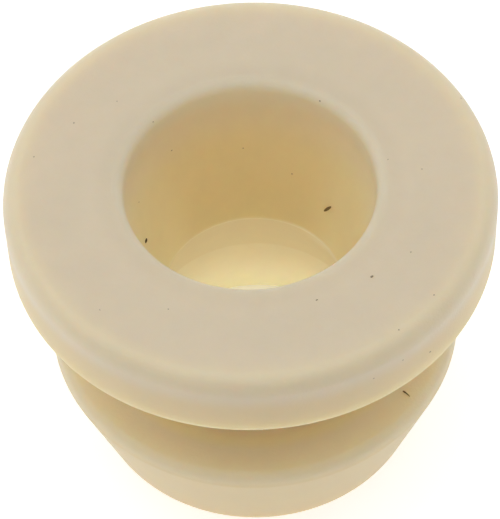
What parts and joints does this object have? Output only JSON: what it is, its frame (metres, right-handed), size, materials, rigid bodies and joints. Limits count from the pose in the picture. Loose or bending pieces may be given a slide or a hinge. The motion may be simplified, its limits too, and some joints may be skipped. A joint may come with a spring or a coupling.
{
  "type": "shift lever bushing",
  "caption": "Flanged round bushing with a blind bore that narrows to a tip well, a deep groove under the flange and a tapered snap-in nose.",
  "frame": {"origin": "middle of the nose's flat end, on the surface that the bushing stands on", "axes": "+Z along the bore, from the nose towards the flange; the part is round, so X and Y are free"},
  "size_m": [0.0254, 0.0254, 0.0184],
  "materials": {
    "natural_nylon": "natural ivory nylon, slightly see-through at thin edges, fine matt moulded skin with a few dark specks"
  },
  "bodies": {
    "root": {"bushing": "natural_nylon"}
  },
  "joints": []
}
